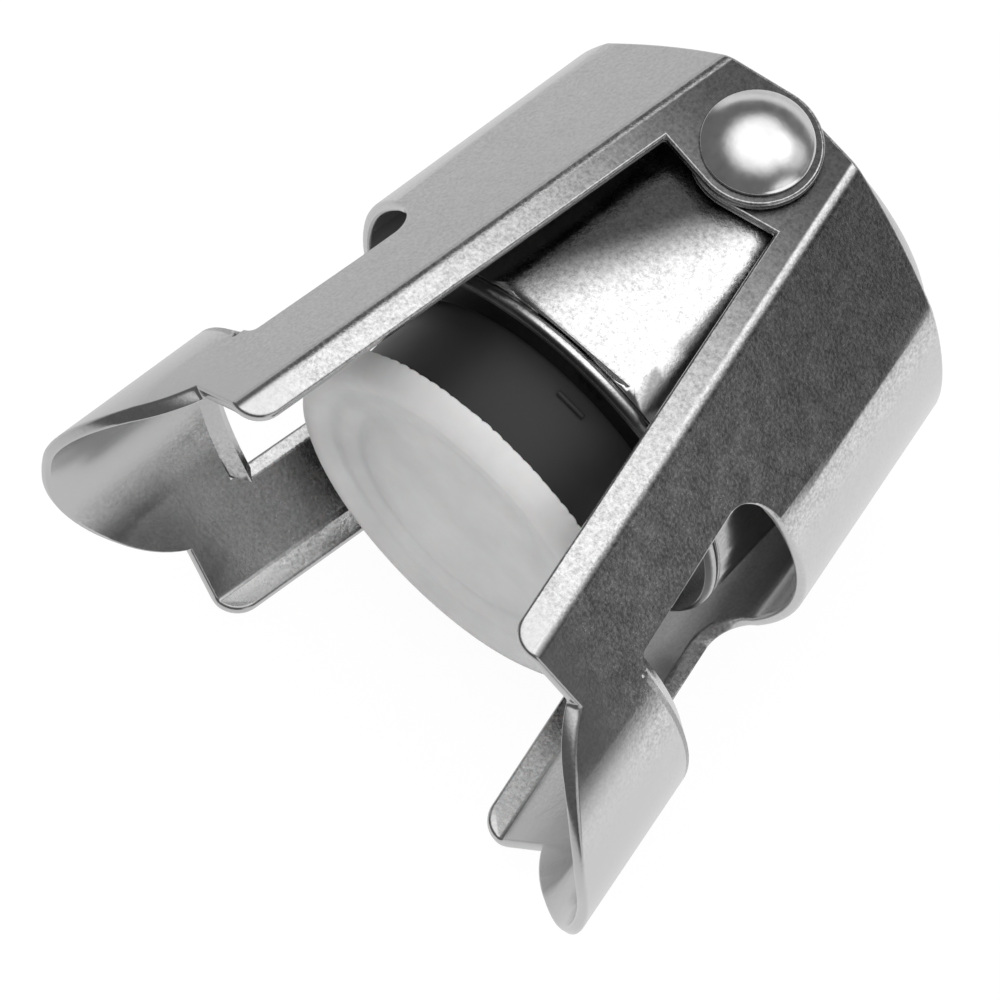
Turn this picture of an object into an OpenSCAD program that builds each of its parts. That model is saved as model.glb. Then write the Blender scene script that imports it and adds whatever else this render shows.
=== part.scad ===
// Champagne stopper: a drawn steel cap with a sprung piston, a soft seal and two swinging wings.
// The stopper lies on its back, as set down on a table.
// X runs across the wings, +Y runs from the bottle to the top of the cap, +Z points out of the front rivet.
// The origin is the centre of the seal's face, which sits on the bottle's mouth.

/* [Seal] */
// Diameter of the seal at its widest
seal_d = 31.6; // [28:0.2:32]
// Diameter of the flat face that meets the glass
seal_face_d = 26.4; // [20:0.2:27]
// Thickness of the seal's rim
seal_t = 2.2; // [1.8:0.1:3]
// Diameter of the shallow ring pressed into the face
face_ring_d = 19; // [12:0.5:19]
// Diameter of the knob that holds the seal in the piston
knob_d = 11; // [8:0.5:12]

/* [Piston] */
// Diameter of the piston's skirt
piston_d = 26.4; // [24:0.2:27]
// Travel of the piston from rest until the seal nears the rim
piston_travel = 5.8; // [4:0.2:6.5]
// Wall of the piston
piston_wall = 1.8; // [1.2:0.1:2.4]
// Height of the flange that holds the piston in the cap
flange_h = 1.9; // [1.2:0.1:3]

/* [Cap] */
// Diameter of the rolled bead at the cap's mouth
rim_d = 34.2; // [33:0.2:35]
// Diameter of the cap's wall just above the bead
cap_low_d = 33; // [32.6:0.1:33.4]
// Diameter of the cap's wall at the rivets
cap_top_d = 31.5; // [31:0.1:31.6]
// Thickness of the drawn sheet
cap_sheet = 0.9; // [0.6:0.05:1.1]
// Distance between the two pressed flats
flats_w = 30.8; // [30.4:0.1:31]
// Height of the crown above the rivets
crown_h = 7.9; // [7:0.1:9]
// Radius of the crown
crown_r = 50; // [40:1:80]
// Radius of the shoulder between wall and crown
shoulder_r = 6; // [4:0.25:7]

/* [Wings] */
// Height of the rivets above the seal's face
pivot_h = 31.1; // [30:0.1:33]
// Thickness of the wing's sheet
wing_sheet = 0.9; // [0.7:0.05:1]
// Distance over the two flat arms of one wing
arms_w = 34.7; // [34.5:0.1:36]
// Radius of the lug around the rivet
lug_r = 4.9; // [4.6:0.1:5.4]
// Distance from the rivet's axis to the inner edge of an arm
arm_in = 4.45; // [4:0.05:5]
// Rounding of the arm's lower corner
arm_corner_r = 2.2; // [0.5:0.1:2.2]
// Distance from the rivet's axis down to the end of the arms
arm_len = 42.7; // [41:0.1:44]
// Angle that the slanted face leans from the front
face_lean = 45.7; // [45:0.1:47]
// Distance from the rivet's axis to the plane of a slanted face
face_out = 17.14; // [17:0.01:17.3]
// Outer radius of the round back, which runs down into the thumb tab
back_r = 16.5; // [16.2:0.1:17]
// Distance from the rivet's axis to the outermost line of the back
back_out = 18.15; // [18:0.05:18.4]
// Angle that the back leans in towards the tab
back_lean = 0.86; // [0.5:0.01:1]
// Outer radius of the bend beside the arm
bend_r = 1.6; // [1.2:0.1:2.5]
// Distance from the rivet's axis down to the tip of the thumb tab
tab_len = 51.1; // [50:0.1:53]
// Width of the tab at its widest
tab_w = 27.6; // [26:0.1:29]
// Radius of the tab's rounded end
tab_end_r = 11.8; // [10:0.1:12.5]
// Radius of the curved upper edge of the wing
crest_r = 35; // [33:0.5:40]
// Opening of the left wing at rest, in degrees
left_open = 8.3; // [7:0.1:12]
// Opening of the right wing at rest, in degrees
right_open = 11.8; // [7:0.1:14]

/* [Slot] */
// Width of the slot in the wing's back
slot_w = 24; // [20:0.2:25]
// Distance from the rivet's axis down to the slot's upper edge
slot_top = 20.9; // [19:0.1:23]
// Rounding of the slot's upper corners
slot_r = 2.5; // [1:0.1:4]
// Distance from the rivet's axis down to the fold of the hooked lip
lip_fold = 37.4; // [36:0.1:38]
// Length of the lip that hooks under the bottle's ring
lip_len = 1.4; // [1:0.1:2]
// Angle that the lip is folded inwards
lip_lean = 45; // [30:1:60]

/* [Rivets and spring] */
// Diameter of a rivet's head
head_d = 8.44; // [7:0.1:9]
// Height of a rivet's head
head_h = 1.8; // [1.2:0.1:2.2]
// Diameter of a rivet's shank
shank_d = 4; // [3:0.1:4.6]
// Diameter of the spring's wire
wire_d = 1.4; // [1:0.1:1.6]
// Mean diameter of the spring's coils
coil_d = 16; // [15.4:0.2:18]
// Number of turns of the spring
coil_turns = 6.5; // [4:0.5:8]

/* [Hidden] */
round_fn = 96;
fine_fn = 48;
small_fn = 32;
far = 80;
through = 1;
// clearances between neighbouring pieces
swing_gap = 0.15;
bore_gap = 0.05;
press_gap = 0.02;
slide_gap = 0.2;
rivet_gap = 0.05;
seat_gap = 0.05;
lip_gap = 0.15;
neck_gap = 0.5;
// seal and piston: knob, socket, floor and the disc that guides the spring
edge_r = 2.9;
groove_r = 0.35;
knob_h = 1.35;
socket_h = knob_h + seat_gap;
floor_t = 1;
floor_y = seal_t + socket_h + floor_t;
guide_h = 2;
// cap: its inner lip, rolled bead and pressed flats, as heights above the seal's face
lip_y = seal_t + piston_travel + slide_gap;
lip_in_r = piston_d / 2 + neck_gap;
bead_r = 1.1;
bead_y = lip_y + bead_r;
flat_rise = 2.7;
flat_y = lip_y + flat_rise;
flat_z = flats_w / 2;
foot_r = 0.9;
foot_in_r = 0.3;
boss_r = 3.6;
// crown of the cap: the shoulder's centre, and where crown and shoulder meet
wall_draft = 0.04;
cap_top_r = cap_top_d / 2;
shoulder_x = cap_top_r - wall_draft - shoulder_r;
crown_drop = sqrt(pow(crown_r - shoulder_r, 2) - shoulder_x * shoulder_x);
shoulder_y = pivot_h + crown_h - (crown_r - crown_drop);
crown_c = shoulder_y - crown_drop;
meet_x = shoulder_x * crown_r / (crown_r - shoulder_r);
// piston's flange behind the lip
flange_r = flats_w / 2 - cap_sheet - slide_gap;
flange_y = lip_y + cap_sheet + slide_gap;
piston_top = flange_y + flange_h;
// places of the wings' sheets, one wing's arm over the other's
arm_shift = (wing_sheet + swing_gap) / 2;
arm_out = arms_w / 2 + arm_shift;
arm_under = arms_w / 2 - arm_shift - wing_sheet;
boss_z = arm_under - swing_gap;
// the slanted face of a wing, its bend and its curved crest
bend_z = arms_w / 2 - bend_r;
bend_x = (face_out - bend_r - bend_z * sin(face_lean)) / cos(face_lean);
fold_x = (face_out - arms_w / 2 * sin(face_lean)) / cos(face_lean);
fold_pass = 1.2;
crest_y = -31.4;
fold_y = crest_y + sqrt(crest_r * crest_r - fold_x * fold_x);
// the round back: its axis at the rivet and at the tab, and where the slanted faces run into it
back_c = back_out - back_r;
tab_c = back_c - (tab_len - tab_end_r) * tan(back_lean);
meet_back = tab_c + (face_out - tab_c * cos(face_lean)) * cos(face_lean);
// slot, its corner reliefs and the root of the hooked lip
slot_from = meet_back / 2;
relief_r = 0.7;
lip_half = slot_w / 2 - relief_r;
lip_root = 0.15;
lip_foot = 0.4;
slot_low = lip_fold - lip_len * cos(lip_lean) - wing_sheet * sin(lip_lean);
// rivets: straight edge of the head and the tail formed inside the cap
head_land = 0.3;
tail_t = 0.8;
tail_lap = 0.5;

// Turns a profile drawn as [radius, height] about the stopper's axis
module revolve(fn = round_fn) {
  rotate([-90, 0, 0]) rotate_extrude($fn = fn) children();
}

// Outside of the cap as half a profile, drawn in by one inset for its inside
module cap_half(inset) {
  low_r = cap_low_d / 2 - inset;
  top_r = cap_top_r - inset;
  polygon([[0, lip_y + inset], [low_r, lip_y + inset], [low_r, flat_y],
    [top_r, pivot_h], [shoulder_x + shoulder_r - inset, shoulder_y], [0, shoulder_y]]);
  translate([shoulder_x, shoulder_y]) circle(r = shoulder_r - inset, $fn = round_fn);
  intersection() {
    translate([0, crown_c]) circle(r = crown_r - inset, $fn = 2 * round_fn);
    translate([0, shoulder_y]) square([meet_x * (crown_r - inset) / crown_r, far]);
  }
}

// What the press takes off the two sides: all beyond a flat at z and above y, with a soft foot
module flat_tool(z, y, foot) {
  for (turn = [0, 180]) rotate([0, turn, 0]) rotate([0, -90, 0]) linear_extrude(far, center = true) {
    translate([z + foot, y]) square(far);
    translate([z, y + foot]) square(far);
    translate([z + foot, y + foot]) circle(r = foot, $fn = fine_fn);
  }
}

module pressed_cup(inset, foot) {
  difference() {
    revolve() cap_half(inset);
    flat_tool(flat_z - inset, flat_y - inset, foot);
  }
}

module cap() {
  color("silver") difference() {
    union() {
      difference() {
        pressed_cup(0, foot_r);
        pressed_cup(cap_sheet, foot_in_r);
      }
      revolve() {
        translate([rim_d / 2 - bead_r, bead_y]) circle(r = bead_r, $fn = fine_fn);
        translate([lip_in_r, lip_y]) square([rim_d / 2 - bead_r - lip_in_r, cap_sheet]);
      }
      for (turn = [0, 180]) rotate([0, turn, 0])
        translate([0, pivot_h, flat_z - cap_sheet])
          cylinder(h = boss_z - flat_z + cap_sheet, r = boss_r, $fn = fine_fn);
    }
    revolve() translate([0, lip_y - through]) square([lip_in_r, cap_sheet + 2 * through]);
    translate([0, pivot_h, 0])
      cylinder(h = far, r = shank_d / 2 + press_gap, center = true, $fn = fine_fn);
  }
}

// Domed rivet, its formed tail inside the cap
module rivet() {
  dome_h = head_h - head_land;
  dome_r = (pow(head_d / 2, 2) + dome_h * dome_h) / (2 * dome_h);
  head_z = arm_out + rivet_gap;
  tail_z = flat_z - cap_sheet - tail_t;
  translate([0, pivot_h, 0]) {
    translate([0, 0, head_z]) cylinder(h = head_land, d = head_d, $fn = round_fn);
    intersection() {
      translate([0, 0, head_z + head_h - dome_r]) sphere(r = dome_r, $fn = round_fn);
      translate([0, 0, head_z + head_land]) cylinder(h = head_h, d = head_d, $fn = round_fn);
    }
    translate([0, 0, tail_z]) cylinder(h = head_z - tail_z, d = shank_d, $fn = fine_fn);
    translate([0, 0, tail_z]) cylinder(h = tail_t, r1 = shank_d / 2 + tail_lap / 2,
      r2 = shank_d / 2 + tail_lap, $fn = fine_fn);
  }
}

module rivet_front() {
  color("gainsboro") rivet();
}

module rivet_back() {
  color("gainsboro") rotate([0, 180, 0]) rivet();
}

// Round wire swept along a helix about Y, between two heights
module spring() {
  ring_sides = 8;
  steps_per_turn = 20;
  steps = coil_turns * steps_per_turn;
  coil_r = coil_d / 2;
  wire_r = wire_d / 2;
  end_r = coil_r + wire_r;
  y0 = floor_y + wire_r + seat_gap;
  y1 = crown_c + sqrt(pow(crown_r - cap_sheet, 2) - end_r * end_r) - wire_r - seat_gap;
  points = [for (i = [0:steps], k = [0:ring_sides - 1])
    let (turn = 360 * i / steps_per_turn, a = 360 * k / ring_sides, r = coil_r + wire_r * cos(a))
      [r * cos(turn), y0 + (y1 - y0) * i / steps + wire_r * sin(a), r * sin(turn)]];
  sides = [for (i = [0:steps - 1], k = [0:ring_sides - 1])
    let (n = (k + 1) % ring_sides, a = i * ring_sides, b = a + ring_sides)
      [a + k, b + k, b + n, a + n]];
  caps = [[for (k = [0:ring_sides - 1]) k], [for (k = [ring_sides - 1:-1:0]) steps * ring_sides + k]];
  color("lightgray") polyhedron(points, concat(sides, caps), convexity = 10);
}

// Moulded piston: skirt, flange that stays behind the cap's lip, spring guide and seal socket
module piston() {
  guide_r = coil_d / 2 - wire_d / 2 - slide_gap;
  color("black") revolve() difference() {
    union() {
      translate([0, seal_t]) square([piston_d / 2, piston_top - seal_t]);
      translate([0, flange_y]) square([flange_r, flange_h]);
    }
    translate([0, floor_y + guide_h]) square([piston_d / 2 - piston_wall, far]);
    translate([guide_r, floor_y]) square([piston_d / 2 - piston_wall - guide_r, far]);
    translate([0, seal_t - through]) square([knob_d / 2 + press_gap, through + socket_h]);
  }
}

// Soft disc with a rounded edge, a shallow ring in its face and a knob behind
module seal() {
  face_r = seal_face_d / 2;
  color("whitesmoke") revolve() difference() {
    union() {
      square([face_r, seal_t]);
      intersection() {
        translate([face_r, edge_r]) circle(r = edge_r, $fn = round_fn);
        square([seal_d / 2, seal_t]);
      }
      square([knob_d / 2, seal_t + knob_h]);
    }
    translate([face_ring_d / 2, 0]) circle(r = groove_r, $fn = small_fn);
  }
}

// Arms, bends and slanted faces of a wing as a filled section, drawn in by one inset for its inside
module wing_wedge(inset) {
  arm = arms_w / 2 - inset;
  toe = [cos(face_lean), sin(face_lean)];
  tip_x = (face_out - inset) / toe[0];
  for (side = [0, 1]) mirror([0, side]) {
    polygon([[-far, -through], [-far, arm], [bend_x, arm],
      [bend_x, bend_z] + (bend_r - inset) * toe, [tip_x, 0], [tip_x, -through]]);
    translate([bend_x, bend_z]) circle(r = bend_r - inset, $fn = fine_fn);
  }
}

// Puts a piece on the axis of the round back, which leans in towards the tab
module on_back_axis() {
  translate([back_c, 0, 0]) rotate([0, 0, -back_lean]) children();
}

// Filled form of a wing: the wedge closed by its round back
module wing_form(inset) {
  intersection() {
    translate([0, -far, 0]) rotate([-90, 0, 0]) linear_extrude(2 * far) wing_wedge(inset);
    union() {
      translate([-far, -far, -far])
        cube([far + meet_back - inset * cos(face_lean), 2 * far, 2 * far]);
      on_back_axis() rotate([90, 0, 0])
        cylinder(h = 2 * far, r = back_r - inset, center = true, $fn = 2 * round_fn);
    }
  }
}

// Outline of the wing seen from the front: lug, arm and the curved crest
module wing_side() {
  reach = norm([fold_x, fold_y]);
  turn = atan2(fold_y, fold_x) + acos(lug_r / reach);
  touch = lug_r * [cos(turn), sin(turn)];
  ahead = touch + fold_pass * ([fold_x, fold_y] - touch);
  circle(r = lug_r, $fn = fine_fn);
  polygon([[0, 0], touch, ahead, [ahead[0], -lug_r], [0, -lug_r]]);
  intersection() {
    difference() {
      translate([arm_in, -far]) square([far, 2 * far]);
      translate([0, -far - arm_len]) square([fold_x, far]);
      difference() {
        translate([arm_in, -arm_len]) square(arm_corner_r);
        translate([arm_in + arm_corner_r, arm_corner_r - arm_len])
          circle(r = arm_corner_r, $fn = fine_fn);
      }
    }
    translate([0, crest_y]) circle(r = crest_r, $fn = 2 * round_fn);
  }
}

// Outline of the wing seen from its side: everything above the waist, and the thumb tab below it
module wing_face() {
  end_y = tab_end_r - tab_len;
  end_z = tab_w / 2 - tab_end_r;
  translate([-far, -arm_len]) square([2 * far, far]);
  for (side = [-1, 1]) translate([side * end_z, end_y]) circle(r = tab_end_r, $fn = 2 * round_fn);
  translate([-end_z, -tab_len]) square([2 * end_z, far]);
  translate([-tab_w / 2, end_y]) square([tab_w, far]);
}

// Outline of the slot, cut out round the hooked lip
module slot_outline() {
  half = slot_w / 2;
  translate([-half, -slot_low]) square([slot_w, slot_low - slot_top - slot_r]);
  translate([slot_r - half, -slot_top - slot_r]) square([slot_w - 2 * slot_r, slot_r]);
  for (side = [-1, 1]) {
    translate([side * (half - slot_r), -slot_top - slot_r]) circle(r = slot_r, $fn = fine_fn);
    translate([side * lip_half, -slot_low]) circle(r = relief_r, $fn = small_fn);
  }
  translate([-lip_half, -lip_fold]) square([2 * lip_half, lip_fold - slot_low]);
}

// Lip folded inwards along the slot's lower edge, rooted inside the sheet
module hooked_lip() {
  inner = back_r - wing_sheet;
  tip = [inner - lip_len * sin(lip_lean), lip_len * cos(lip_lean)];
  half = lip_half - lip_gap;
  intersection() {
    on_back_axis() translate([0, back_r * sin(back_lean) - lip_fold, 0]) revolve(2 * round_fn)
      polygon([[inner + lip_root, -lip_foot], [back_r - lip_root, -lip_foot],
        [back_r, wing_sheet * tan(lip_lean / 2)],
        tip + wing_sheet * [cos(lip_lean), sin(lip_lean)], tip, [inner, 0]]);
    translate([slot_from, -far, -half]) cube([far, 2 * far, 2 * half]);
  }
}

// One wing in its own frame: the rivet's axis is Z, the arms hang towards -Y, the back is at +X
module wing() {
  translate([0, 0, -arm_shift]) difference() {
    union() {
      difference() {
        intersection() {
          difference() {
            wing_form(0);
            wing_form(wing_sheet);
          }
          linear_extrude(far, center = true) wing_side();
          rotate([0, -90, 0]) linear_extrude(2 * far, center = true) wing_face();
        }
        rotate([0, -90, 0]) translate([0, 0, -far]) linear_extrude(far - slot_from) slot_outline();
      }
      hooked_lip();
    }
    cylinder(h = far, r = shank_d / 2 + bore_gap, center = true, $fn = fine_fn);
  }
}

module wing_left() {
  color("silver") translate([0, pivot_h, 0]) rotate([0, 0, -left_open]) rotate([0, 180, 0]) wing();
}

module wing_right() {
  color("silver") translate([0, pivot_h, 0]) rotate([0, 0, right_open]) wing();
}

cap();
rivet_front();
rivet_back();
spring();
piston();
seal();
wing_left();
wing_right();
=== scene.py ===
# %% [markdown]
# # A champagne stopper, dressed for its portrait
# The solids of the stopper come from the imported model. This lesson gives them their looks: rounded edges on
# the pressed sheet, polished rivets, a moulded piston, a soft milky seal, and a small studio round it all.

import math

import bmesh
import bpy
from mathutils import Matrix, Vector


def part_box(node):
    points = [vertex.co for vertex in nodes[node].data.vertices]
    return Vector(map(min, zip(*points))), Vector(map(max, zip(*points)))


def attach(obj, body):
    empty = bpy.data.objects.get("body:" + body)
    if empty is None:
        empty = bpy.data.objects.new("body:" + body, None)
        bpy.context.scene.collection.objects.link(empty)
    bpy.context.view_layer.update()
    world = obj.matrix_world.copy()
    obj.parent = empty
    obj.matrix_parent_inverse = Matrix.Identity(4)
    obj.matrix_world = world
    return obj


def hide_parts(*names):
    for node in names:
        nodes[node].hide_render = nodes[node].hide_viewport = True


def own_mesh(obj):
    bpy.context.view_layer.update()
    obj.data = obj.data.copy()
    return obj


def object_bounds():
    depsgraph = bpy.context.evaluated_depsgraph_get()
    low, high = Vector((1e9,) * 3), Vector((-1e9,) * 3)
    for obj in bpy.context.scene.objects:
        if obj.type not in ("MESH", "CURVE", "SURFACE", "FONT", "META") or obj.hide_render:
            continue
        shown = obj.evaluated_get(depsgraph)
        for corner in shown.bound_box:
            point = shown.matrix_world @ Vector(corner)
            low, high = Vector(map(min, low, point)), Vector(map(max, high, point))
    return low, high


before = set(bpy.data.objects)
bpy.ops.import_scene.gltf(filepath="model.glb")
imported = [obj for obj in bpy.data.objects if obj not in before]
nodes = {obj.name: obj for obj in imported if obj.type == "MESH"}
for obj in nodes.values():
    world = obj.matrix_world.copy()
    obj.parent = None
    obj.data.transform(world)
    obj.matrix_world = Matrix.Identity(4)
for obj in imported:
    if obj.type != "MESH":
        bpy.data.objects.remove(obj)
cad_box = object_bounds()

MM = 0.001
scene = bpy.context.scene

# %% [markdown]
# ## The camera
# The photograph looks along the stopper from the front, from its right and from below, and the picture is
# turned by some 46 degrees. An azimuth, an elevation and a roll say this in plain numbers. A long lens from
# a metre away keeps the lines nearly parallel, as in the photograph.

# %% Camera at the photograph's angle
AZIMUTH, ELEVATION, ROLL = math.radians(14.55), math.radians(-19.99), math.radians(45.92)
LENS, SENSOR = 503.2, 36
NEAREST, FARTHEST = 0.05, 20
AIM = Vector((0, 31.7, 0)) * MM
STEP_RIGHT, STEP_UP, STEP_BACK = -17.74 * MM, -18.59 * MM, 1018.45 * MM

toward = Vector((math.sin(AZIMUTH) * math.cos(ELEVATION), math.sin(ELEVATION),
                 math.cos(AZIMUTH) * math.cos(ELEVATION)))
level = Vector((0, 1, 0)).cross(toward).normalized()
upright = toward.cross(level)
right = math.cos(ROLL) * level + math.sin(ROLL) * upright
up = math.cos(ROLL) * upright - math.sin(ROLL) * level

lens = bpy.data.cameras.new("camera")
lens.lens, lens.sensor_width = LENS, SENSOR
lens.clip_start, lens.clip_end = NEAREST, FARTHEST
camera = bpy.data.objects.new("camera", lens)
turn = Matrix((right, up, toward)).transposed().to_4x4()
camera.matrix_world = Matrix.Translation(AIM + STEP_RIGHT * right + STEP_UP * up + STEP_BACK * toward) @ turn
scene.collection.objects.link(camera)
scene.camera = camera
print("camera at", [round(c, 3) for c in camera.matrix_world.translation])

# %% [markdown]
# ## Shader maths as plain expressions
# A node tree soon gets hard to read. A small class wraps one socket, and adding or multiplying two of them
# adds the Math node that does it, so a mask is written as a sum.


# %% A socket that takes part in expressions
class Term:
    def __init__(self, bench, socket):
        self.bench, self.socket = bench, socket

    def math(self, how, *values):
        return self.bench.add("ShaderNodeMath", {"operation": how}, values)

    def __add__(self, other):
        return self.math("ADD", self, other)

    def __sub__(self, other):
        return self.math("SUBTRACT", self, other)

    def __rsub__(self, other):
        return self.math("SUBTRACT", other, self)

    def __mul__(self, other):
        return self.math("MULTIPLY", self, other)

    def __truediv__(self, other):
        return self.math("DIVIDE", self, other)

    def __rtruediv__(self, other):
        return self.math("DIVIDE", other, self)

    def step(self, low, high):
        """0 below low, 1 above high, smooth between them."""
        settings = {"interpolation_type": "SMOOTHSTEP"}
        limits = {"Value": self, "From Min": low, "From Max": high}
        return self.bench.add("ShaderNodeMapRange", settings, limits)

    __radd__ = __add__
    __rmul__ = __mul__


class Bench:
    """The node tree of one material or of the world."""

    def __init__(self, owner):
        owner.use_nodes = True
        self.tree = owner.node_tree
        self.tree.nodes.clear()

    def add(self, kind, settings=None, inputs=(), output=0):
        node = self.tree.nodes.new(kind)
        for name, value in (settings or {}).items():
            setattr(node, name, value)
        for key, value in (inputs.items() if isinstance(inputs, dict) else enumerate(inputs)):
            if isinstance(value, Term):
                self.tree.links.new(value.socket, node.inputs[key])
            else:
                node.inputs[key].default_value = value
        return Term(self, node.outputs[output]) if len(node.outputs) else None

    def xyz(self, vector):
        split = self.add("ShaderNodeSeparateXYZ", None, (vector,))
        return [Term(self, s) for s in split.socket.node.outputs]

    def place(self):
        return self.add("ShaderNodeTexCoord", output="Object")

    def noise(self, place, per_metre, detail=2.0, rough=0.5):
        """Noise about 0.5, with so many blobs to the metre."""
        spread = self.add("ShaderNodeMapping", None, {"Vector": place, "Scale": [per_metre] * 3})
        return self.add("ShaderNodeTexNoise", None,
                        {"Vector": spread, "Scale": 1.0, "Detail": detail, "Roughness": rough})

    def grey(self, value):
        return self.add("ShaderNodeCombineColor", None, (value, value, value))

    def bump(self, height, strength=1.0):
        """A bump whose height is in metres."""
        return self.add("ShaderNodeBump", None, {"Height": height, "Strength": strength, "Distance": 1.0})

    def finish(self, surface, kind="ShaderNodeOutputMaterial"):
        self.add(kind, None, {"Surface": surface})


# %% [markdown]
# ## The studio
# Chrome and satin steel have hardly any colour of their own: they show the room. So the room matters as
# much as the finish. The stopper lies on a white table. One large soft light hangs over it, with a smaller
# key light to its right. A low backdrop glows beyond the cap, one more light stands at the right, and the
# rest of the room is dim. The camera sees plain white behind the stopper. Polished metal sees the table,
# which glows brighter in a painted pool of light beside the stopper.

# %% Room light
OVERHEAD = Vector((-0.1, 0.21, 0.97)).normalized()
KEY = Vector((0.42, 0.56, 0.71)).normalized()
SWEEP = Vector((-0.15, 0.99, 0)).normalized()
SIDE = Vector((0.95, -0.08, 0.3)).normalized()
ROOM, SOFTBOX, KEY_LIGHT, BACKDROP, SIDE_LIGHT = 0.13, 1.1, 0.6, 0.6, 1.0
FILL, FILL_SHARE = 0.8, 0.5
SWEEP_TOP = (0.16, 0.24)


def cone(bench, direction, axis, wide, narrow):
    """1 inside a cone about an axis, 0 outside a wider one. Both angles are in degrees."""
    dot = bench.add("ShaderNodeVectorMath", {"operation": "DOT_PRODUCT"}, (direction, tuple(axis)), "Value")
    return dot.step(math.cos(math.radians(wide)), math.cos(math.radians(narrow)))


world = bpy.data.worlds.new("studio")
scene.world = world
bench = Bench(world)
direction = bench.add("ShaderNodeTexCoord", output="Generated")
path = bench.add("ShaderNodeLightPath").socket.node.outputs
height = bench.xyz(direction)[2]
softbox = cone(bench, direction, OVERHEAD, 47, 20) * SOFTBOX
key = cone(bench, direction, KEY, 26, 6) * KEY_LIGHT
sweep = cone(bench, direction, SWEEP, 70, 52) * (1 - height.step(*SWEEP_TOP)) * BACKDROP
side = cone(bench, direction, SIDE, 30, 18) * SIDE_LIGHT
glow = softbox + key + sweep + side + ROOM
diffuse = Term(bench, path["Is Diffuse Ray"])
light = glow * (1 - diffuse) + diffuse * (glow * FILL_SHARE + FILL)
seen = Term(bench, path["Is Camera Ray"])
strength = light * (1 - seen) + seen
backdrop = bench.add("ShaderNodeBackground", None, {"Color": (1, 1, 1, 1), "Strength": strength})
bench.finish(backdrop, "ShaderNodeOutputWorld")

# %% White table
TABLE_HALF = 2.5
POOL_X, POOL_Y, POOL_R = 70 * MM, 50 * MM, 120 * MM
POOL_PEAK, POOL_BASE = 0.62, 0.5
TABLE_SEEN, SEEN_SHARE, MIRRORED_SHARE = 1.05, 0.9, 0.8
PAPER = (0.8, 0.8, 0.8, 1)

shape = bmesh.new()
bmesh.ops.create_grid(shape, x_segments=1, y_segments=1, size=TABLE_HALF)
bmesh.ops.translate(shape, verts=shape.verts, vec=(0, 0, cad_box[0][2]))
mesh = bpy.data.meshes.new("table")
shape.to_mesh(mesh)
shape.free()
table = bpy.data.objects.new("table", mesh)
scene.collection.objects.link(table)

white = bpy.data.materials.new("white_table")
bench = Bench(white)
path = bench.add("ShaderNodeLightPath").socket.node.outputs
x, y = bench.xyz(bench.place())[:2]
# Mirrored rays see the table glow brighter in a round patch beside the stopper, fading outwards: a painted
# pool of light.
across, along = x - POOL_X, y - POOL_Y
far_off = (across * across + along * along) / (POOL_R * POOL_R) + 1
painted_pool = POOL_PEAK / far_off + POOL_BASE
seen = Term(bench, path["Is Camera Ray"])
glossy = Term(bench, path["Is Glossy Ray"])
mirrored = glossy.math("MAXIMUM", glossy, Term(bench, path["Is Transmission Ray"]))
lit = bench.add("ShaderNodeEmission", None, {
    "Color": (1, 1, 1, 1), "Strength": seen * TABLE_SEEN + mirrored * painted_pool})
paper = bench.add("ShaderNodeBsdfDiffuse", None, {"Color": PAPER})
share = seen * SEEN_SHARE + mirrored * MIRRORED_SHARE
bench.finish(bench.add("ShaderNodeMixShader", None, (share, paper, lit)))
mesh.materials.append(white)
scene.view_settings.view_transform = "Standard"
print("table at z =", round(cad_box[0][2] / MM, 2), "mm")

# %% [markdown]
# ## Rounded edges on the sheet metal
# A press shears the sheet, and tumbling then rounds every edge by a few tenths of a millimetre. Those edges
# catch the light as fine bright lines. The solids have sharp edges, so a copy of each pressed piece is
# merged, its flat faces are joined, and its sharp edges are bevelled. Short edges and edges that are round
# already are spared.

# %% From a bmesh to a smooth piece
TURNED_CREASE = 50


def smooth_piece(name, shape, crease):
    """An object from a bmesh, shaded smooth but for edges that turn by more than the crease, in degrees."""
    mesh = bpy.data.meshes.new(name)
    shape.to_mesh(mesh)
    shape.free()
    for face in mesh.polygons:
        face.use_smooth = True
    mesh.set_sharp_from_angle(angle=math.radians(crease))
    piece = bpy.data.objects.new(name, mesh)
    scene.collection.objects.link(piece)
    print(name, len(mesh.polygons), "faces")
    return piece


# %% A pressed piece from its solid
WELD, SLIVER = 0.02 * MM, 0.01 * MM
SAME_PLANE, SHEARED = math.radians(0.5), math.radians(40)
SHEET_CREASE = 35


def pressed_piece(name, node, body, radius, spare, reform=None):
    """A copy of a node with its sheared edges rounded, apart from those that spare() picks."""
    shape = bmesh.new()
    shape.from_mesh(nodes[node].data)
    bmesh.ops.remove_doubles(shape, verts=shape.verts, dist=WELD)
    bmesh.ops.dissolve_degenerate(shape, edges=shape.edges, dist=SLIVER)
    bmesh.ops.dissolve_limit(shape, angle_limit=SAME_PLANE, verts=shape.verts, edges=shape.edges)
    if reform:
        reform(shape)
    edges = [e for e in shape.edges if len(e.link_faces) == 2 and e.calc_face_angle(0) > SHEARED
             and not spare((e.verts[0].co + e.verts[1].co) / 2 / MM)]
    bmesh.ops.bevel(shape, geom=edges, offset=radius, offset_type="OFFSET", affect="EDGES", segments=3,
                    profile=0.5, clamp_overlap=False, material=-1)
    bmesh.ops.triangulate(shape, faces=[f for f in shape.faces if len(f.verts) > 4])
    print(name, len(edges), "edges rounded")
    piece = smooth_piece(name, shape, SHEET_CREASE)
    weigh = piece.modifiers.new("weigh", "WEIGHTED_NORMAL")
    weigh.keep_sharp = True
    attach(piece, body)
    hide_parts(node)
    return piece


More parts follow.
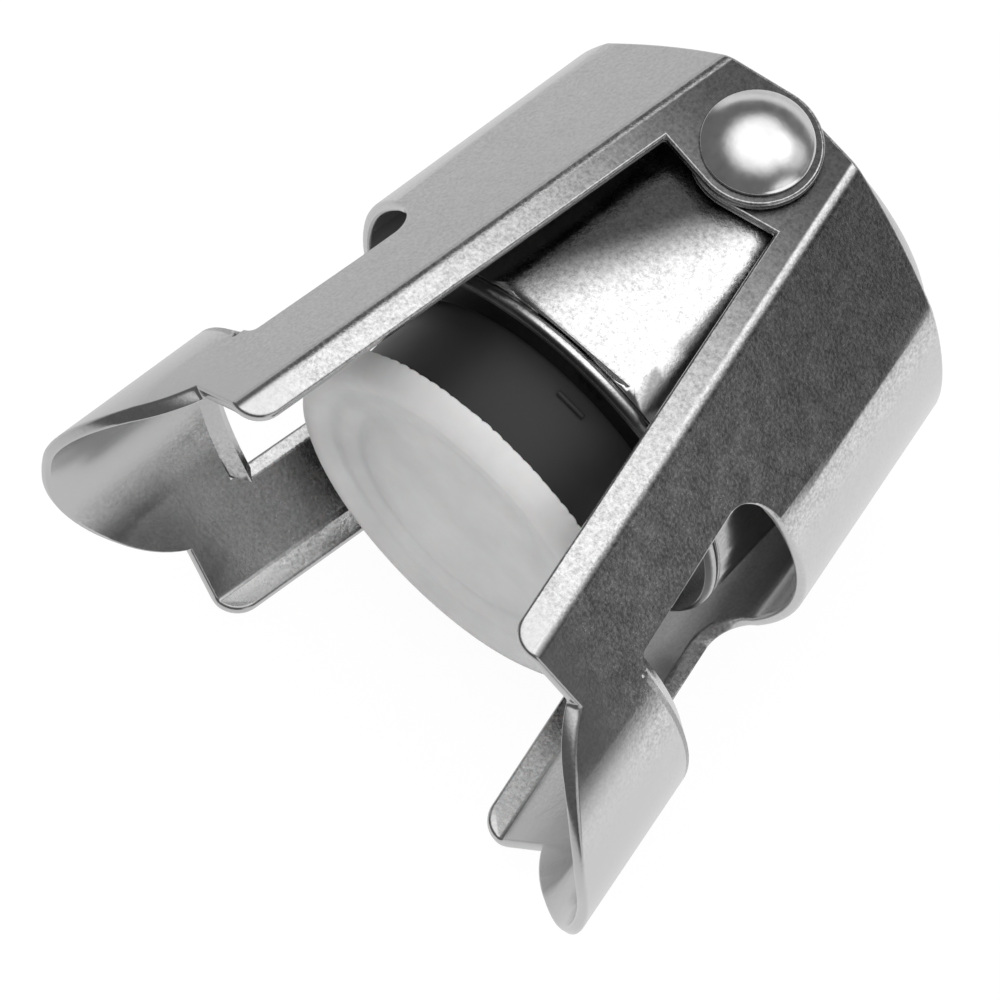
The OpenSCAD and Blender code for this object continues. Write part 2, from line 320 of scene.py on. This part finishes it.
# %% Wings and cap
WING_EDGE, CAP_EDGE = 0.28 * MM, 0.12 * MM
LIP_LOW, LIP_TOP, LIP_HALF, LIP_IN = -6, 1.2, 13.3, 12
WALL_LOW = 11.6
BEAD_LOW, BEAD_H, BEAD_IN, BEAD_TOP = 8.2, 2.2, 13, 10.5
RIM_LOW, RIM_H, RIM_ROOT, RIM_REACH = 9.6, 1.4, 14.4, 0.815


def on_lip(middle):
    """The hooked lip's edges stay sharp: they are shorter than the rounding is wide."""
    return LIP_LOW < middle.y < LIP_TOP and abs(middle.z) < LIP_HALF and abs(middle.x) > LIP_IN


def on_rim(middle):
    """The rolled rim is round already."""
    return middle.y < WALL_LOW


def draw_rim(shape):
    """The rolled rim is finer than the solid's: 1.4 mm high, with its lower side 1.4 mm further up."""
    for vertex in shape.verts:
        radius, height = math.hypot(vertex.co.x, vertex.co.z) / MM, vertex.co.y / MM
        if radius > BEAD_IN and height < BEAD_TOP:
            vertex.co.y = (RIM_LOW + (height - BEAD_LOW) * RIM_H / BEAD_H) * MM
            if radius > RIM_ROOT:
                push = (RIM_ROOT + (radius - RIM_ROOT) * RIM_REACH) / radius
                vertex.co.x *= push
                vertex.co.z *= push


wings = [pressed_piece(n + "_sheet", n, n, WING_EDGE, on_lip) for n in ("wing_left", "wing_right")]
shell = pressed_piece("cap_shell", "cap", "cap", CAP_EDGE, on_rim, draw_rim)

# %% [markdown]
# ## Turned pieces
# The rivets, the piston and the seal are round, so one half of each section is drawn as a line and spun
# about its axis. Corners that are soft on the real piece are rounded with a few more points.

# %% Spin a section about an axis
AXIS_R = 0.001
CUT_SHARE = 2.2


def rounded(points, radius, steps=4):
    """The line through the points, with its inner corners rounded off."""
    line = [Vector(points[0])]
    for before, corner, after in zip(points, points[1:], points[2:]):
        corner = Vector(corner)
        back, ahead = Vector(before) - corner, Vector(after) - corner
        cut = min(radius, back.length / CUT_SHARE, ahead.length / CUT_SHARE)
        start, end = corner + back.normalized() * cut, corner + ahead.normalized() * cut
        for k in range(steps + 1):
            t = k / steps
            line.append(start * (1 - t) ** 2 + corner * 2 * t * (1 - t) + end * t ** 2)
    return line + [Vector(points[-1])]


def spun(name, section, axis, centre, steps):
    """A piece turned from a section given as radius and height, in millimetres."""
    shape = bmesh.new()
    across = Vector((1, 0, 0))
    verts = [shape.verts.new(Vector(centre) * MM + (across * r + Vector(axis) * h) * MM) for r, h in section]
    edges = [shape.edges.new(pair) for pair in zip(verts, verts[1:])]
    bmesh.ops.spin(shape, geom=verts + edges, cent=Vector(centre) * MM, axis=Vector(axis),
                   angle=2 * math.pi, steps=steps, use_merge=True)
    bmesh.ops.remove_doubles(shape, verts=shape.verts, dist=AXIS_R * MM)
    bmesh.ops.recalc_face_normals(shape, faces=shape.faces)
    return smooth_piece(name, shape, TURNED_CREASE)


# %% Rivets
PIVOT_Y = 31.1
HEAD_R, HEAD_H, HEAD_LAND, HEAD_ROUND = 4.22, 1.8, 0.3, 0.1
STEM_R, STEM_ROUND = 2.0, 0.2
FOOT_H, FOOT_R, FOOT_END_R = 0.8, 2.5, 2.25
DOME_STEPS = 24

low, high = (corner.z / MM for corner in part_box("rivet_front"))
head_z = high - HEAD_H
dome_h = HEAD_H - HEAD_LAND
dome_r = (HEAD_R ** 2 + dome_h ** 2) / (2 * dome_h)
rivet_section = []
for k in range(DOME_STEPS):
    radius = HEAD_R * k / DOME_STEPS
    rivet_section.append((AXIS_R + radius, high - dome_r + math.sqrt(dome_r ** 2 - radius ** 2)))
rivet_section += rounded([(HEAD_R - 0.12, head_z + HEAD_LAND + 0.1), (HEAD_R, head_z + HEAD_LAND - 0.03),
                          (HEAD_R, head_z), (STEM_R, head_z)], HEAD_ROUND)
rivet_section += rounded([(STEM_R, head_z - 0.02), (STEM_R, low + FOOT_H), (FOOT_R, low + FOOT_H),
                          (FOOT_END_R, low), (AXIS_R, low)], STEM_ROUND)
for name, node, side in (("front_rivet", "rivet_front", 1), ("back_rivet", "rivet_back", -1)):
    rivet = spun(name, rivet_section, (0, 0, side), (0, PIVOT_Y, 0), 96)
    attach(rivet, "cap")
    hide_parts(node)

# %% [markdown]
# ## The seal
# The seal is a soft milky disc, moulded against a tool with a finely cut edge, so its rim towards the cap
# is scalloped. Its face has a soft ridge near the rim and a shallow ring further in. A spun section gives
# the round form, and then the points near the rim are moved by a wave with a little unevenness in it, which
# no stack of solids would give.

# %% Seal
KNOB_R, KNOB_TOP, SEAL_H = 5.5, 3.55, 2.2
seal_face = [(AXIS_R, 0.8), (4, 0.76), (7, 0.66), (8.4, 0.62), (9.1, 0.78), (9.7, 1), (10.3, 0.94), (11, 0.7),
             (11.6, 0.66), (12.2, 0.76), (12.7, 0.62), (13.2, 0.22), (13.7, 0.02), (14.2, 0.06), (14.7, 0.34),
             (15.1, 0.8), (15.4, 1.3), (15.65, 1.85), (15.7, 2.08)]
seal_back = [(15.6, SEAL_H), (14.8, SEAL_H), (13, SEAL_H), (KNOB_R, SEAL_H), (KNOB_R, KNOB_TOP),
             (AXIS_R, KNOB_TOP)]
SCALLOPS, SCALLOP_STEPS = 96, 8
SCALLOP_DROP, SCALLOP_CUT = 0.09, 0.07
SCALLOP_R, SCALLOP_FACE = 14.4, 0.4
SCALLOP_LOW, SCALLOP_RISE = 0.9, 1.2

seal = spun("seal_disc", seal_face + seal_back, (0, 1, 0), (0, 0, 0), SCALLOPS * SCALLOP_STEPS)
for vertex in seal.data.vertices:
    radius = math.hypot(vertex.co.x, vertex.co.z) / MM
    height = vertex.co.y / MM
    if radius > SCALLOP_R and height > SCALLOP_FACE:
        turn = math.atan2(vertex.co.z, vertex.co.x)
        uneven = 0.6 + 0.4 * math.sin(17 * turn + 1) * math.sin(5 * turn)
        wave = abs(math.sin(SCALLOPS * turn / 2)) ** 0.7 * uneven
        near_rim = min(1, max(0, (height - SCALLOP_LOW) / SCALLOP_RISE))
        vertex.co.y -= SCALLOP_DROP * MM * (1 - wave) * near_rim
        shrink = 1 - SCALLOP_CUT * (1 - wave) * near_rim / radius
        vertex.co.x *= shrink
        vertex.co.z *= shrink
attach(seal, "piston")
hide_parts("seal")

# %% [markdown]
# ## The piston
# The piston is moulded in black plastic. Its skirt is plain, with softly rounded edges, and has a small
# raised lug below the cap's rim. The lug is a cube whose edges are bevelled, sunk into the skirt and turned
# round it.

# %% Piston and its lug
PISTON_R, PISTON_LOW, PISTON_TOP, PISTON_ROUND = 13.2, 2.2, 11.2, 0.2
FLANGE_R, FLANGE_LOW = 14.3, 10
BORE_R, FLOOR_Y = 11.4, 4.6
GUIDE_R, GUIDE_TOP = 7.1, 6.6
SOCKET_R, SOCKET_TOP = 5.52, 3.6
piston_section = rounded([
    (SOCKET_R, PISTON_LOW), (PISTON_R, PISTON_LOW), (PISTON_R, FLANGE_LOW), (FLANGE_R, FLANGE_LOW),
    (FLANGE_R, PISTON_TOP), (BORE_R, PISTON_TOP), (BORE_R, FLOOR_Y), (GUIDE_R, FLOOR_Y), (GUIDE_R, GUIDE_TOP),
    (AXIS_R, GUIDE_TOP)], PISTON_ROUND)
piston_section += [(AXIS_R, SOCKET_TOP), (SOCKET_R, SOCKET_TOP), (SOCKET_R, PISTON_LOW)]
piston = spun("piston_body", piston_section, (0, 1, 0), (0, 0, 0), 192)

LUG_TURN, LUG_Y, LUG_OUT = math.radians(13), 8.4, 0.02
LUG_LONG, LUG_HIGH, LUG_DEEP, LUG_EDGE = 2.6, 0.35, 0.8, 0.1 * MM
shape = bmesh.new()
shape.from_mesh(piston.data)
lug = bmesh.ops.create_cube(shape, size=MM)["verts"]
bmesh.ops.scale(shape, verts=lug, vec=(LUG_LONG, LUG_HIGH, LUG_DEEP))
bmesh.ops.translate(shape, verts=lug, vec=(0, LUG_Y * MM, (PISTON_R + LUG_OUT) * MM))
bmesh.ops.rotate(shape, verts=lug, cent=(0, 0, 0), matrix=Matrix.Rotation(LUG_TURN, 3, "Y"))
bmesh.ops.bevel(shape, geom=list({e for v in lug for e in v.link_edges}), offset=LUG_EDGE, affect="EDGES",
                segments=2, profile=0.5, material=-1)
shape.to_mesh(piston.data)
shape.free()
for face in piston.data.polygons:
    face.use_smooth = True
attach(piston, "piston")
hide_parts("piston")
print("piston with its lug", len(piston.data.polygons), "faces")

# %% [markdown]
# ## The spring
# The spring stands between the cap's top and the piston. It is the one piece that changes its length. Its
# copy rides with the cap and has a mesh of its own.

# %% Spring
SLIDE, WIRE_WELD = 5.8 * MM, 0.002 * MM
shape = bmesh.new()
shape.from_mesh(nodes["spring"].data)
bmesh.ops.remove_doubles(shape, verts=shape.verts, dist=WIRE_WELD)
coil = smooth_piece("coil", shape, TURNED_CREASE)
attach(coil, "cap")
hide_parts("spring")
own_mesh(coil)

# %% [markdown]
# ## Finishes
# The pressed steel is tumbled: its flats have a fine grain that scatters the light, while its rounded backs
# are smoother. The grain is a noise with blobs of about 0.3 mm that speckles the colour and the roughness
# and lifts a shallow bump, with a slower mottling under it. Steel takes most of its light and dark from the
# room, and this room is a simple one. So some of it is painted here: the way a face points, and its place
# on the piece, set how bright the metal is there.

# %% Grain of the pressed steel
FINE_BLOBS, SLOW_BLOBS = 3600, 620
FINE_SPECKLE, SLOW_SPECKLE = 1.7, 0.5
SMOOTHEST, FLAT_ROUGHER = 0.22, 0.06
GRAIN_DEPTH = 0.022 * MM


def pressed_steel(bench, place, flat, grain, shade, metallic, crown=0):
    """Satin steel. Flat, grain and shade are masks, shade being painted light and shade on the colour. Crown
    is a height that bends how the flats mirror.
    """
    fine = bench.noise(place, FINE_BLOBS, 3, 0.65) - 0.5
    slow = bench.noise(place, SLOW_BLOBS, 3, 0.55) - 0.5
    speckle = (fine * FINE_SPECKLE + slow * SLOW_SPECKLE) * grain + 1
    rough = SMOOTHEST + flat * FLAT_ROUGHER + (slow * 0.3 + fine * 0.2) * grain
    bench.finish(bench.add("ShaderNodeBsdfPrincipled", None, {
        "Base Color": bench.grey(shade * speckle), "Metallic": metallic, "Roughness": rough,
        "Normal": bench.bump((fine + slow) * grain * GRAIN_DEPTH + crown)}))


# %% Tumbled steel of the wings, with painted light and shade
FLAT_PAINTED_DARK, FLAT_PAINTED_RISE, BACK_SHADE = 0.08, 0.62, 0.58

wing_skin = bpy.data.materials.new("tumbled_steel_painted_light")
bench = Bench(wing_skin)
place = bench.place()
x, y, z = bench.xyz(place)
out_x, _, out_z = bench.xyz(bench.add("ShaderNodeNewGeometry", output="Normal"))
square = out_z * out_z
flat = square.step(0.955, 0.995)
off_backs = square.step(0.1, 0.26) * 0.85 + 0.15
off_tabs = y.step(-9 * MM, -3 * MM) * 0.75 + 0.25
off_left = 1 - (0 - out_x).step(0.3, 0.6) * 0.65
# Painted light: the flats get their own painted brightness, dark up by the rivets and brighter further down
# the arms.
lower = 1 - y.step(2 * MM, 34 * MM)
# Painted shade: the inner side of each wing is painted darker and made less metallic, from about 6 mm up the
# wing.
inside = (0 - (x * out_x + z * out_z)).step(0, 2 * MM) * y.step(0, 6 * MM)
# Painted shade: faces that slant towards +x are darkened, a little less further down.
painted_dark_slant = out_x.step(0.3, 0.6) * square.step(0.25, 0.42)
on_flats = (lower * FLAT_PAINTED_RISE + FLAT_PAINTED_DARK) * flat
on_backs = (1 - flat) * (1 - painted_dark_slant * (0.64 - lower * 0.24)) * BACK_SHADE
shade = (on_flats + on_backs) * (1 - inside * 0.2)
pressed_steel(bench, place, flat, off_backs * off_tabs * off_left, shade, 1 - inside * 0.4)
for wing in wings:
    wing.data.materials.append(wing_skin)

# %% Drawn steel of the cap, with painted light and shade
CAP_DARK, PAD_PAINTED_HIGHLIGHT, WALL_SHADE = 0.07, 0.85, 0.4
CROWN_R = 36 * MM
BORDER_Y, BORDER_SLOPE = 18 * MM, 0.5

cap_skin = bpy.data.materials.new("drawn_steel_painted_light")
bench = Bench(cap_skin)
place = bench.place()
x, y = bench.xyz(place)[:2]
out_y, out_z = bench.xyz(bench.add("ShaderNodeNewGeometry", output="Normal"))[1:]
flat = (out_z * out_z).step(0.82, 0.97)
# Painted highlight: the flat pad is painted dark towards its top and its -x side, and bright towards +x and
# the rim.
side = (x - (y - BORDER_Y) * BORDER_SLOPE).step(-4.2 * MM, 1.6 * MM)
# Painted shade: the downward faces of the rolled rim, below 10.4 mm, are darkened nearly to black.
lip = (0 - out_y).step(0.3, 0.7) * (1 - y.step(10 * MM, 10.4 * MM))
shade = (CAP_DARK + side * PAD_PAINTED_HIGHLIGHT * flat + (1 - flat) * WALL_SHADE) * (1 - lip * 0.8)
crown = x * x * flat / (-2 * CROWN_R)
pressed_steel(bench, place, flat, flat * 0.6 + 0.4, shade, 1.0, crown)
shell.data.materials.append(cap_skin)

# %% Polished rivets
polish = bpy.data.materials.new("polished_rivet")
bench = Bench(polish)
smear = bench.noise(bench.place(), 900, 3)
bench.finish(bench.add("ShaderNodeBsdfPrincipled", None, {
    "Base Color": bench.grey((smear - 0.5) * 0.3 + 0.86), "Metallic": 1.0,
    "Roughness": (smear - 0.5) * 0.15 + 0.19, "Normal": bench.bump(smear * (0.02 * MM), 0.6)}))
for name in ("front_rivet", "back_rivet"):
    bpy.data.objects[name].data.materials.append(polish)

# %% Black plastic
plastic = bpy.data.materials.new("moulded_black")
bench = Bench(plastic)
place = bench.place()
fine = bench.noise(place, 2600, 3)
slow = bench.noise(place, 240, 2)
bench.finish(bench.add("ShaderNodeBsdfPrincipled", None, {
    "Base Color": bench.grey((slow - 0.5) * 0.015 + 0.034), "Roughness": (slow - 0.5) * 0.2 + 0.46,
    "Specular IOR Level": 0.28, "Normal": bench.bump(fine * (0.01 * MM), 0.5)}))
piston.data.materials.append(plastic)

# %% Milky rubber
rubber = bpy.data.materials.new("milky_rubber")
bench = Bench(rubber)
place = bench.place()
fine = bench.noise(place, 1500, 3)
slow = bench.noise(place, 180, 3, 0.6)
bench.finish(bench.add("ShaderNodeBsdfPrincipled", None, {
    "Base Color": bench.grey((slow - 0.5) * 0.25 + 0.7), "Roughness": (slow - 0.5) * 0.2 + 0.5,
    "Subsurface Weight": 0.15, "Subsurface Scale": 1.5 * MM,
    "Normal": bench.bump(fine * (0.02 * MM) + slow * (0.05 * MM), 0.5)}))
seal.data.materials.append(rubber)

# %% Spring wire
wire = bpy.data.materials.new("spring_wire")
bench = Bench(wire)
drawn = bench.noise(bench.place(), 1800, 2)
bench.finish(bench.add("ShaderNodeBsdfPrincipled", None, {
    "Base Color": bench.grey((drawn - 0.5) * 0.1 + 0.55), "Metallic": 1.0,
    "Roughness": (drawn - 0.5) * 0.2 + 0.3}))
coil.data.materials.append(wire)
print("finishes:", [skin.name for skin in (wing_skin, cap_skin, polish, plastic, rubber, wire)])

# %% Sizes, and the end
print("cad box", [[round(v / MM, 2) for v in c] for c in cad_box])
